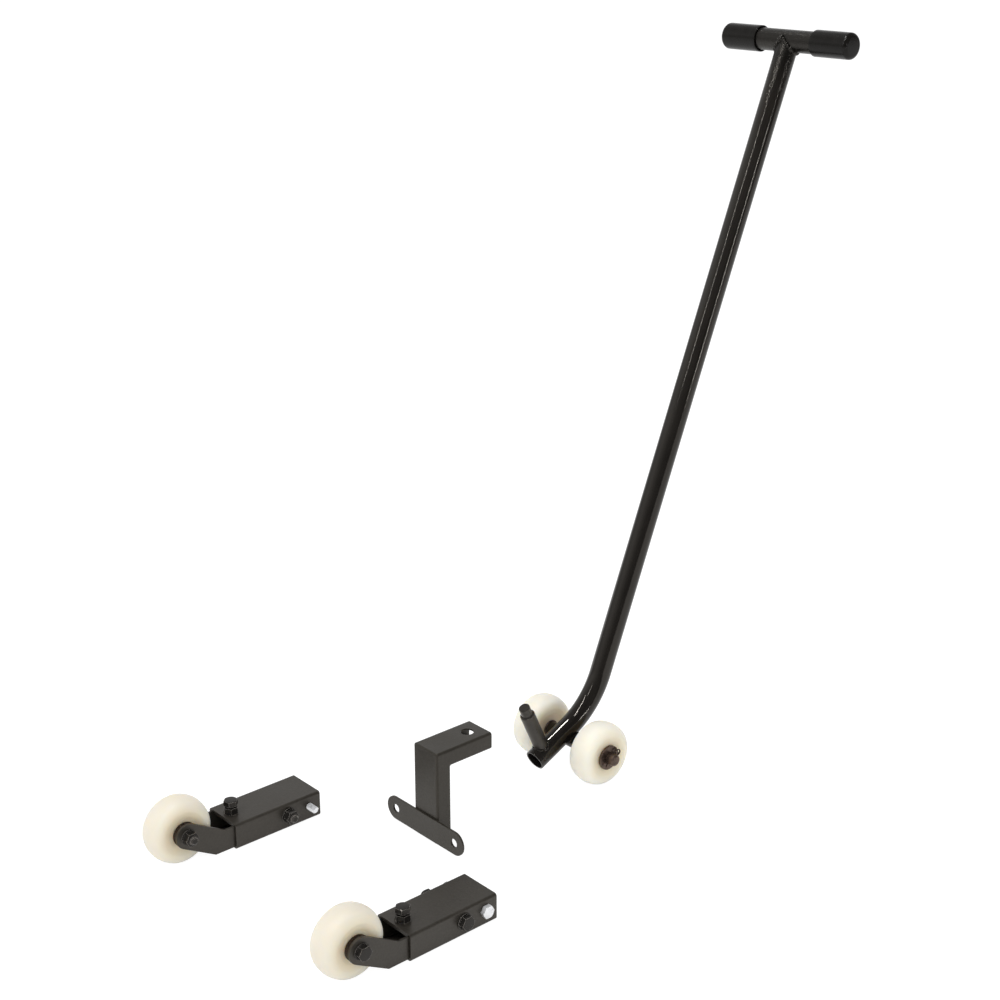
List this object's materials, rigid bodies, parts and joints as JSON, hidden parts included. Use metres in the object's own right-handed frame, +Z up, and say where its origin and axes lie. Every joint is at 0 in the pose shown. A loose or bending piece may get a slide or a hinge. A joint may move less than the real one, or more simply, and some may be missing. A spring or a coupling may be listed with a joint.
{
  "type": "machine moving kit",
  "caption": "Tow-bar moving kit for a workshop machine: wheel arms with sliding forks, a hitch bracket and a wheeled T-handle tow bar with a hitch peg.",
  "frame": {"origin": "centre of the whole kit's box, on the floor", "axes": "+X from the wheel arms towards the tow handle, +Y to the left, +Z up"},
  "size_m": [0.8452, 0.3552, 0.833],
  "materials": {
    "bar_paint": "gloss black paint over bent tube",
    "grip_rubber": "satin black moulded rubber",
    "peg_steel": "satin dark grey",
    "axle_steel": "dark oiled steel",
    "cream_nylon": "turned cream nylon",
    "arm_paint": "satin black paint",
    "bracket_paint": "satin black paint",
    "black_bolts": "black oxide",
    "zinc_bolts": "bright zinc plate"
  },
  "bodies": {
    "base": {"left_arm_tube": "arm_paint", "left_clamp_nut": "black_bolts", "left_cross_washers": "black_bolts", "left_cross_bolt": "black_bolts", "left_cross_nut": "black_bolts", "left_mount_bolt": "zinc_bolts", "right_arm_tube": "arm_paint", "right_clamp_nut": "black_bolts", "right_cross_washers": "black_bolts", "right_cross_bolt": "black_bolts", "right_cross_nut": "black_bolts", "right_mount_bolt": "zinc_bolts", "hitch_leg": "bracket_paint", "hitch_arm": "bracket_paint", "hitch_plate": "bracket_paint"},
    "left_fork": {"left_wheel_fork": "arm_paint", "left_axle_washers": "black_bolts", "left_axle_bolt": "black_bolts", "left_axle_nut": "black_bolts", "left_axle_bush": "axle_steel", "left_wheel_spacers": "axle_steel"},
    "left_roller": {"left_wheel": "cream_nylon"},
    "left_clamp": {"left_clamp_screw": "black_bolts"},
    "right_fork": {"right_wheel_fork": "arm_paint", "right_axle_washers": "black_bolts", "right_axle_bolt": "black_bolts", "right_axle_nut": "black_bolts", "right_axle_bush": "axle_steel", "right_wheel_spacers": "axle_steel"},
    "right_roller": {"right_wheel": "cream_nylon"},
    "right_clamp": {"right_clamp_screw": "black_bolts"},
    "tow_bar": {"tow_tube": "bar_paint", "tow_crossbar": "bar_paint", "left_grip_cap": "grip_rubber", "right_grip_cap": "grip_rubber", "hitch_peg": "peg_steel", "axle_sleeve": "bar_paint", "tow_axle": "axle_steel", "tow_washers": "axle_steel", "split_pins": "axle_steel"},
    "left_tow_roller": {"left_tow_wheel": "cream_nylon"},
    "right_tow_roller": {"right_tow_wheel": "cream_nylon"}
  },
  "joints": [
    {"name": "left_fork_slide", "type": "slide", "parent": "base", "child": "left_fork", "axis": [-1, 0, 0], "range_m": [-0.005, 0.01]},
    {"name": "left_wheel_spin", "type": "hinge", "parent": "left_fork", "child": "left_roller", "pos_m": [-0.38508, 0.144, 0.0375], "axis": [0, 1, 0], "continuous": true},
    {"name": "left_clamp_lift", "type": "slide", "parent": "base", "child": "left_clamp", "axis": [0, 0, 1], "range_m": [0, 0.006]},
    {"name": "right_fork_slide", "type": "slide", "parent": "base", "child": "right_fork", "axis": [-1, 0, 0], "range_m": [-0.005, 0.01]},
    {"name": "right_wheel_spin", "type": "hinge", "parent": "right_fork", "child": "right_roller", "pos_m": [-0.37458, -0.144, 0.0375], "axis": [0, 1, 0], "continuous": true},
    {"name": "right_clamp_lift", "type": "slide", "parent": "base", "child": "right_clamp", "axis": [0, 0, 1], "range_m": [0, 0.006]},
    {"name": "tow_bar_tilt", "type": "hinge", "parent": "base", "child": "tow_bar", "pos_m": [0.07291, 0.0135, 0.0375], "axis": [0, 1, 0], "range_deg": [-20, 60]},
    {"name": "left_tow_wheel_spin", "type": "hinge", "parent": "tow_bar", "child": "left_tow_roller", "pos_m": [0.07291, 0.0619, 0.0375], "axis": [0, 1, 0], "continuous": true},
    {"name": "right_tow_wheel_spin", "type": "hinge", "parent": "tow_bar", "child": "right_tow_roller", "pos_m": [0.07291, -0.0349, 0.0375], "axis": [0, 1, 0], "continuous": true}
  ]
}
